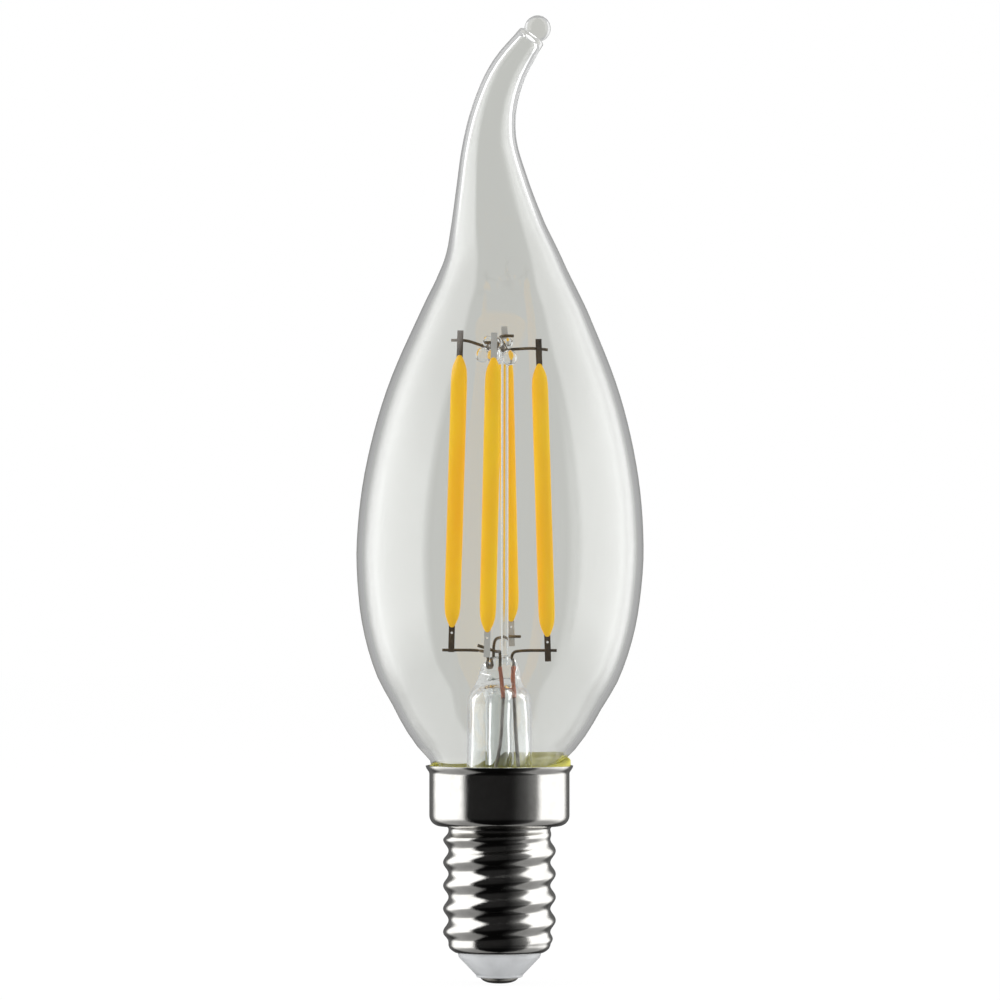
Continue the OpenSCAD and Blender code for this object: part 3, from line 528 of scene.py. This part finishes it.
def stem():
    """Flare, tube and press in one, with the domed end of the tube inside."""
    sides = 48
    low = neck_low_z
    shift = glass_shift - math.tan(glass_lean) * (rim_z - low)
    outer = [
        ((shift, 0, low), neck_r - glass_wall - 0.05, neck_r - glass_wall - 0.05, 0),
        ((shift, 0, low + 0.5), neck_r - glass_wall - 0.15, neck_r - glass_wall - 0.15, 0),
        ((shift * 0.8, 0, low + 1.1), 6.0, 6.0, 0), ((shift * 0.5, 0, low + 1.9), 5.0, 5.0, 0),
        ((shift * 0.25, 0, low + 2.9), 4.3, 4.3, 0), ((0, 0, low + 4.2), 3.98, 3.98, 0),
        ((0, 0, stem_mid_z), stem_r, stem_r, 0), ((0, 0, stem_shoulder_z - 1.4), stem_r, stem_r, 0),
        ((0, 0, stem_shoulder_z - 0.7), 3.9, 3.85, 0), ((0, 0, stem_shoulder_z), 3.72, 3.5, 0),
        ((-0.03, 0, stem_shoulder_z + 0.6), 3.3, 2.8, 0), ((-0.05, 0, stem_shoulder_z + 1.2), 2.85, 2.1, 0),
        ((0, 0, stem_shoulder_z + 1.9), 2.62, 1.65, 0), ((0.05, 0, stem_shoulder_z + 2.6), 2.55, 1.45, 0),
        ((0.12, 0, stem_shoulder_z + 3.4), 2.3, 1.4, 0), ((0.15, 0, press_top_z - 0.6), 1.95, 1.25, 0),
        ((0.2, 0, press_top_z - 0.15), 1.5, 0.95, 0), ((0.2, 0, press_top_z), 0.8, 0.5, 0),
    ]
    bore = stem_r - stem_wall
    inner = [
        ((shift, 0, low), neck_r - glass_wall - 1.4, neck_r - glass_wall - 1.4, 0),
        ((shift * 0.7, 0, low + 0.7), 5.0, 5.0, 0), ((shift * 0.4, 0, low + 1.7), 3.9, 3.9, 0),
        ((0, 0, low + 3.2), bore, bore, 0), ((0, 0, stem_mid_z), bore, bore, 0),
        ((0, 0, stem_shoulder_z - 1.5), bore, bore, 0), ((0, 0, stem_shoulder_z - 0.8), 3.15, 3.1, 0),
        ((0, 0, stem_shoulder_z - 0.2), 2.85, 2.7, 0), ((0, 0, stem_shoulder_z + 0.3), 2.35, 2.0, 0),
        ((0, 0, stem_shoulder_z + 0.6), 1.6, 1.25, 0), ((0, 0, stem_shoulder_z + 0.7), 0.6, 0.5, 0),
    ]
    skin = drawn_skin("stem_glass_body", inner[::-1] + outer, sides)
    smooth(skin, 70, 1)
    return finish(skin, "stem_glass", "stem_flare")


def exhaust_tube():
    top = stem_shoulder_z + 0.4
    outer = straight([
        (0.15, exhaust_tip_z), (0.7, exhaust_tip_z + 0.12), (1.2, exhaust_tip_z + 0.45),
        (1.6, exhaust_tip_z + 1.05), (exhaust_r, exhaust_tip_z + 1.8),
        (exhaust_r, exhaust_mid_z), (exhaust_r, top),
    ][::-1])
    inner = straight([
        (0.2, exhaust_tip_z + 2.6), (0.8, exhaust_tip_z + 3.0), (exhaust_bore_r, exhaust_tip_z + 4.0),
        (exhaust_bore_r, exhaust_mid_z), (exhaust_bore_r, top),
    ][::-1])
    tube = drawn_skin("exhaust_glass", inner[::-1] + outer, 32)
    smooth(tube, 50)
    return finish(tube, "stem_glass", "exhaust_tube")


def centre_rod():
    """Thin rod whose head is melted to a crown of lobes, blended by a remesh."""
    clear_selection()
    lobes = [((crown_x, 0, crown_z), crown_core_r)]
    tilt = Matrix.Rotation(crown_tilt, 3, "Y")
    for i in range(4):
        a = math.radians(90 * i - stick_top_turn)
        out = Vector((math.cos(a), math.sin(a), 0))
        for r, rise in ((lobe_r, -lobe_rise), (upper_lobe_r, lobe_rise)):
            at = tilt @ (out * lobe_ring_r * r / lobe_r + Vector((0, 0, rise)))
            lobes.append((tuple(Vector((crown_x, 0, crown_z)) + at), r))
    parts = []
    for at, r in lobes:
        bpy.ops.mesh.primitive_ico_sphere_add(subdivisions=3, radius=r * MM, location=Vector(at) * MM)
        parts.append(bpy.context.object)
    foot_z = press_top_z - 1.2
    bpy.ops.mesh.primitive_cylinder_add(
        vertices=24, radius=rod_r * MM, depth=(crown_z - foot_z) * MM,
        location=Vector((rod_x, 0, (crown_z + foot_z) / 2)) * MM,
    )
    rod = bpy.context.object
    for part in parts:
        part.select_set(True)
    rod.select_set(True)
    bpy.context.view_layer.objects.active = rod
    bpy.ops.object.join()
    bpy.ops.object.transform_apply(location=True, rotation=True, scale=True)
    rod.name = "centre_rod_glass"
    blend = rod.modifiers.new("blend", "REMESH")
    blend.mode = "VOXEL"
    blend.voxel_size = 0.11 * MM
    bpy.ops.object.modifier_apply(modifier=blend.name)
    calm = rod.modifiers.new("calm", "SMOOTH")
    calm.factor = 0.5
    calm.iterations = 4
    bpy.ops.object.modifier_apply(modifier=calm.name)
    smooth(rod, 180)
    return finish(rod, "stem_glass", "centre_rod")


def stick_end(i, up):
    a = math.radians(stick_angles[i] - (stick_top_turn if up else stick_low_turn))
    r = stick_top_r if up else stick_low_r
    half = coat_l / 2 if up else -coat_l / 2
    return Vector((r * math.cos(a), r * math.sin(a), stick_mid_z + stick_lifts[i] + half))


def stick_coats():
    """One coat is modelled and copied to each stick, with its own mesh."""
    half = coat_l / 2
    r = coat_d / 2
    side = [
        (0.14, half), (0.27, half - 0.05), (0.42, half - 0.36), (0.61, half - 0.78), (0.8, half - 1.25),
        (0.93, half - 1.85), (0.985, half - 2.6), (r, half - 3.6), (r * 0.985, half - 6),
        (r, half - 10), (r * 0.99, 2),
    ]
    profile = side + [(w, -z) for w, z in reversed(side)]
    first = drawn_skin("stick_coat", straight(profile[::-1]), 32)
    smooth(first, 60, 1)
    for i, name in enumerate(stick_names):
        a, b = stick_end(i, False), stick_end(i, True)
        coat = first if i == 3 else first.copy()
        if i != 3:
            coat.data = first.data.copy()
            bpy.context.scene.collection.objects.link(coat)
        coat.name = f"{name}_stick_coat"
        turn = Vector((0, 0, 1)).rotation_difference(b - a).to_matrix().to_4x4()
        place(coat, Matrix.Translation((a + b) / 2 * MM) @ turn)
        finish(coat, "phosphor_silicone", f"{name}_coat")


def sheet_profile():
    """The sheet's outer line from the rolled edge up to the lip, as (radius, height, thread share)."""
    line = [
        (insulator_r + 0.05, shell_low_z, 0), (insulator_r + 0.35, shell_low_z + 0.03, 0),
        (root_r - 0.45, shell_low_z + 0.22, 0), (root_r - 0.15, shell_low_z + 0.5, 0),
        (root_r, thread_low_z, 0),
    ]
    rows = 110
    for i in range(1, rows + 1):
        z = thread_low_z + (thread_top_z - thread_low_z) * i / rows
        up, down = (z - thread_low_z) / thread_fade, (thread_top_z - z) / thread_fade
        fade = [v * v * (3 - 2 * v) for v in (min(max(up, 0), 1), min(max(down, 0), 1))]
        line.append((root_r, z, fade[0] * fade[1]))
    line += [
        (root_r + 0.04, shoulder_z - 0.1, 0), (root_r + 0.16, shoulder_z + 0.03, 0),
        (root_r + 0.4, shoulder_z + 0.1, 0), (skirt_r - shoulder_r, shoulder_z + 0.16, 0),
    ]
    middle = (skirt_r - shoulder_r, shoulder_z + 0.16 + shoulder_r)
    for a in range(-80, 1, 10):
        t = math.radians(a)
        line.append((middle[0] + shoulder_r * math.cos(t), middle[1] + shoulder_r * math.sin(t), 0))
    top = rim_z - lip_h
    line += [(skirt_r, middle[1] + 0.3 + (top - middle[1] - 0.5) * i / 8, 0) for i in range(9)]
    line += [
        (skirt_r + 0.01, top - 0.08, 0), (skirt_r + 0.07, top + 0.08, 0), (skirt_r + 0.2, top + 0.26, 0),
        (skirt_r + 0.34, top + 0.46, 0), (lip_r - 0.03, top + 0.66, 0), (lip_r, rim_z, 0),
    ]
    return line


def cap_sheet():
    """Drawn and rolled sheet: a flat grid is wrapped round the axis, seamed and given its thickness."""
    line = sheet_profile()
    sides = 120
    clear_selection()
    bpy.ops.mesh.primitive_grid_add(x_subdivisions=sides, y_subdivisions=len(line) - 1, size=2)
    cap = bpy.context.object
    cap.name = "cap_sheet"
    for vert in cap.data.vertices:
        i = round((vert.co.x + 1) / 2 * sides)
        j = round((vert.co.y + 1) / 2 * (len(line) - 1))
        r, z, share = line[j]
        a = math.tau * i / sides
        turn = math.tau * (z - thread_start_z) / thread_pitch - a
        r += thread_depth * share * (1 + math.cos(turn)) / 2
        vert.co = Vector((r * math.cos(a), r * math.sin(a), z)) * MM
    bpy.ops.object.mode_set(mode="EDIT")
    bpy.ops.mesh.select_all(action="SELECT")
    bpy.ops.mesh.remove_doubles(threshold=0.001 * MM)
    bpy.ops.mesh.normals_make_consistent(inside=False)
    bpy.ops.object.mode_set(mode="OBJECT")
    wall = cap.modifiers.new("wall", "SOLIDIFY")
    wall.thickness = sheet_t * MM
    wall.offset = -1
    bpy.ops.object.modifier_apply(modifier=wall.name)
    smooth(cap, 50)
    return finish(cap, "cap_metal", "cap_shell")


def cement_ring():
    """Cement between the neck and the skirt. Its level slopes up to the right at the back."""
    sides = 96
    turn = math.radians(48)
    skirt_in, lip_in = skirt_r - sheet_t - 0.01, lip_r - sheet_t - 0.02
    seat = rim_z - lip_h

    def glass_at(z, a):
        """Distance from the cap's axis to the leaning glass at an angle."""
        x = glass_shift + math.tan(glass_lean) * (z - rim_z)
        return x * math.cos(a) + math.sqrt(glass_radius(z) ** 2 - (x * math.sin(a)) ** 2)

    clear_selection()
    bpy.ops.mesh.primitive_grid_add(x_subdivisions=sides, y_subdivisions=13, size=2)
    cement = bpy.context.object
    cement.name = "cement_fill"
    for vert in cement.data.vertices:
        a = math.tau * round((vert.co.x + 1) / 2 * sides) / sides
        row = round((vert.co.y + 1) / 2 * 13)
        rise = 1.05 * max(math.cos(a - turn) + 0.12, 0) ** 1.3
        rise += 0.05 * math.sin(5 * a) + 0.03 * math.sin(11 * a + 1)
        top = rim_z + max(rise, 0.04)
        side = [
            (skirt_in, neck_low_z), (skirt_in, neck_low_z + 2.5), (skirt_in, seat),
            (lip_in, rim_z - 0.05), (lip_in - 0.02, top - 0.2), (lip_in - 0.1, top - 0.07),
            (lip_in - 0.25, top), (None, top + 0.02), (None, top - 0.35), (None, rim_z - 0.5),
            (None, neck_top_z - 0.4), (None, neck_low_z + 2.5),
            (None, neck_low_z + 1.2), (None, neck_low_z),
        ]
        r, z = side[row]
        if r is None:
            r = glass_at(z, a) + 0.01
        vert.co = Vector((r * math.cos(a), r * math.sin(a), z)) * MM
    bpy.ops.object.mode_set(mode="EDIT")
    bpy.ops.mesh.select_all(action="SELECT")
    bpy.ops.mesh.remove_doubles(threshold=0.001 * MM)
    bpy.ops.object.mode_set(mode="OBJECT")
    bridge_open_ends(cement)
    smooth(cement, 60)
    return finish(cement, "cement", "basing_cement")


def insulator_and_contact():
    cone = straight([
        (contact_shank_r, insulator_low_z), (insulator_low_r - 0.12, insulator_low_z),
        (insulator_low_r, insulator_low_z + 0.1), (insulator_low_r + 0.03, insulator_low_z + 0.26),
        (insulator_low_r + 0.12, insulator_low_z + 0.36),
        (insulator_r - 0.2, shell_low_z - band_h - 0.06), (insulator_r - 0.1, shell_low_z - band_h + 0.1),
        (insulator_r, shell_low_z), (insulator_r, shell_low_z + sheet_t),
        (root_r - sheet_t - 0.1, thread_low_z), (root_r - sheet_t - 0.1, insulator_top_z),
        (contact_shank_r, insulator_top_z),
    ])
    body = drawn_skin("insulator_body", cone, 96, close_low=False, close_high=False)
    clear_selection()
    body.select_set(True)
    bpy.context.view_layer.objects.active = body
    bridge_open_ends(body)
    smooth(body, 30)
    finish(body, "insulator_plastic", "insulator")
    dome = straight([
        (0.1, 0), (contact_flat_r, 0.01), (contact_r * 0.5, 0.05), (contact_r * 0.66, 0.12),
        (contact_r * 0.84, 0.29), (contact_r * 0.95, 0.48), (contact_r, 0.66), (contact_r * 0.985, 0.74),
        (contact_shank_r, 0.75), (contact_shank_r, contact_top_z),
    ])
    contact = drawn_skin("contact_dome", dome, 64)
    smooth(contact, 40)
    finish(contact, "contact_metal", "centre_contact")


glass_envelope()
stem()
exhaust_tube()
centre_rod()
stick_coats()
cap_sheet()
cement_ring()
insulator_and_contact()

for node, obj in frame["nodes"].items():
    slots = obj.data.materials
    slots.clear()
    slots.append(finishes[slot_of[node]])


# Studio


def studio_floor():
    """White to the camera with a faint shadow, and open to glass and polished metal."""
    clear_selection()
    bpy.ops.mesh.primitive_plane_add(size=4, location=(0, 0, 0))
    floor = bpy.context.object
    floor.name = "studio_floor"
    mat, nodes, links, shader = node_material("floor_paint", (0.85, 0.85, 0.85), rough=0.9)
    shader.inputs["Specular IOR Level"].default_value = 0.0
    path = nodes.new("ShaderNodeLightPath")
    seen = nodes.new("ShaderNodeEmission")
    seen.inputs["Color"].default_value = (1, 1, 1, 1)
    share = maths(nodes, links, "MULTIPLY", path.outputs["Is Camera Ray"], 0.955)
    lit = nodes.new("ShaderNodeMixShader")
    links.new(share, lit.inputs["Fac"])
    links.new(shader.outputs["BSDF"], lit.inputs[1])
    links.new(seen.outputs["Emission"], lit.inputs[2])
    glossy, transmitted = path.outputs["Is Glossy Ray"], path.outputs["Is Transmission Ray"]
    either = maths(nodes, links, "MAXIMUM", glossy, transmitted)
    open_to = nodes.new("ShaderNodeBsdfTransparent")
    mix = nodes.new("ShaderNodeMixShader")
    links.new(either, mix.inputs["Fac"])
    links.new(lit.outputs["Shader"], mix.inputs[1])
    links.new(open_to.outputs["BSDF"], mix.inputs[2])
    links.new(mix.outputs["Shader"], nodes["Material Output"].inputs["Surface"])
    floor.data.materials.append(mat)


def gray(value):
    return (value, value, value)


def studio_world():
    """White to the camera, pale gray through the glass, two tall white screens to polished things."""
    world = bpy.data.worlds.new("studio")
    bpy.context.scene.world = world
    world.use_nodes = True
    nodes, links = world.node_tree.nodes, world.node_tree.links
    base = nodes["Background"]
    coords = nodes.new("ShaderNodeTexCoord")
    split = nodes.new("ShaderNodeSeparateXYZ")
    links.new(coords.outputs["Generated"], split.inputs["Vector"])
    toward = maths(nodes, links, "MULTIPLY", split.outputs["Y"], -1)
    turn = maths(nodes, links, "ARCTAN2", split.outputs["X"], toward)
    share = nodes.new("ShaderNodeMapRange")
    share.inputs["From Min"].default_value = -math.pi
    share.inputs["From Max"].default_value = math.pi
    links.new(turn, share.inputs["Value"])

    def at(degrees):
        return (degrees + 180) / 360

    screens = ramp(nodes, links, share.outputs["Result"], [
        (at(-180), gray(0.06)), (at(-142), gray(0.1)), (at(-128), gray(1)), (at(-66), gray(0.95)),
        (at(-57), gray(0.012)), (at(22), gray(0.008)), (at(45), gray(0.06)), (at(66), gray(0.2)),
        (at(72), gray(1)), (at(132), gray(0.95)), (at(145), gray(0.1)), (at(180), gray(0.06)),
    ])
    rise = nodes.new("ShaderNodeMapRange")
    rise.inputs["From Min"].default_value = -1
    links.new(split.outputs["Z"], rise.inputs["Value"])
    height = ramp(nodes, links, rise.outputs["Result"], [
        (0.0, gray(0.14)), (0.24, gray(0.28)), (0.38, gray(0.95)), (1.0, gray(1)),
    ])
    tall = nodes.new("ShaderNodeMix")
    tall.data_type = "RGBA"
    tall.blend_type = "MULTIPLY"
    tall.inputs["Factor"].default_value = 1.0
    links.new(screens, tall.inputs["A"])
    links.new(height, tall.inputs["B"])
    strong = nodes.new("ShaderNodeVectorMath")
    strong.operation = "SCALE"
    strong.inputs["Scale"].default_value = screen_strength
    links.new(tall.outputs["Result"], strong.inputs[0])
    behind = nodes.new("ShaderNodeMapRange")
    behind.interpolation_type = "SMOOTHSTEP"
    behind.inputs["From Min"].default_value = 0.62
    behind.inputs["From Max"].default_value = 0.84
    links.new(split.outputs["Y"], behind.inputs["Value"])
    glow = nodes.new("ShaderNodeVectorMath")
    glow.operation = "MAXIMUM"
    glow.inputs[1].default_value = gray(0.5)
    links.new(strong.outputs["Vector"], glow.inputs[0])
    calm = nodes.new("ShaderNodeVectorMath")
    calm.operation = "MINIMUM"
    calm.inputs[1].default_value = gray(0.86)
    links.new(glow.outputs["Vector"], calm.inputs[0])
    through = mixed(nodes, links, behind.outputs["Result"], calm.outputs["Vector"], backdrop_gray)
    path = nodes.new("ShaderNodeLightPath")
    bounced = maths(nodes, links, "GREATER_THAN", path.outputs["Glossy Depth"], 0.5)
    through = mixed(nodes, links, bounced, through, glow.outputs["Vector"])
    soft_light = (1.12, 1.12, 1.12, 1)
    shade = mixed(nodes, links, path.outputs["Is Glossy Ray"], soft_light, strong.outputs["Vector"])
    shade = mixed(nodes, links, path.outputs["Is Transmission Ray"], shade, through)
    shade = mixed(nodes, links, path.outputs["Is Camera Ray"], shade, (1, 1, 1, 1))
    links.new(shade, base.inputs["Color"])
    base.inputs["Strength"].default_value = 1.0


def softbox(name, place_at, size, power):
    """Lamp that shapes the matt pieces. The screens of the world stand in for it in reflections."""
    light = bpy.data.lights.new(name, "AREA")
    light.shape = "RECTANGLE"
    light.size, light.size_y = size
    light.energy = power
    lamp = bpy.data.objects.new(name, light)
    bpy.context.scene.collection.objects.link(lamp)
    lamp.location = place_at
    aim = Vector((0, 0, 0.06)) - Vector(place_at)
    lamp.rotation_euler = aim.to_track_quat("-Z", "Y").to_euler()
    lamp.visible_glossy = False
    lamp.visible_transmission = False


backdrop_gray = (0.575, 0.575, 0.545, 1)
screen_strength = 1.9
studio_floor()
studio_world()
softbox("left_softbox", (-0.45, -0.08, 0.2), (0.3, 0.6), 1.3)
softbox("right_softbox", (0.45, -0.08, 0.2), (0.3, 0.6), 1.0)
softbox("overhead_softbox", (0, 0.1, 0.7), (0.8, 0.8), 1.6)

# The camera stands level with the lower half of the glass and looks very slightly up
camera_distance, camera_height, aim_height = 0.72, 0.051, 0.0589
frame_width_mm = 122.0
camera = bpy.data.objects.new("camera", bpy.data.cameras.new("camera"))
bpy.context.scene.collection.objects.link(camera)
camera.location = (0.00007, -camera_distance, camera_height)
camera.rotation_euler = (math.pi / 2 + math.atan2(aim_height - camera_height, camera_distance), 0, 0)
camera.data.sensor_width = 36
camera.data.lens = 36 * camera_distance / MM / frame_width_mm
camera.data.clip_start = 0.01
bpy.context.scene.camera = camera
bpy.context.scene.view_settings.view_transform = "Standard"
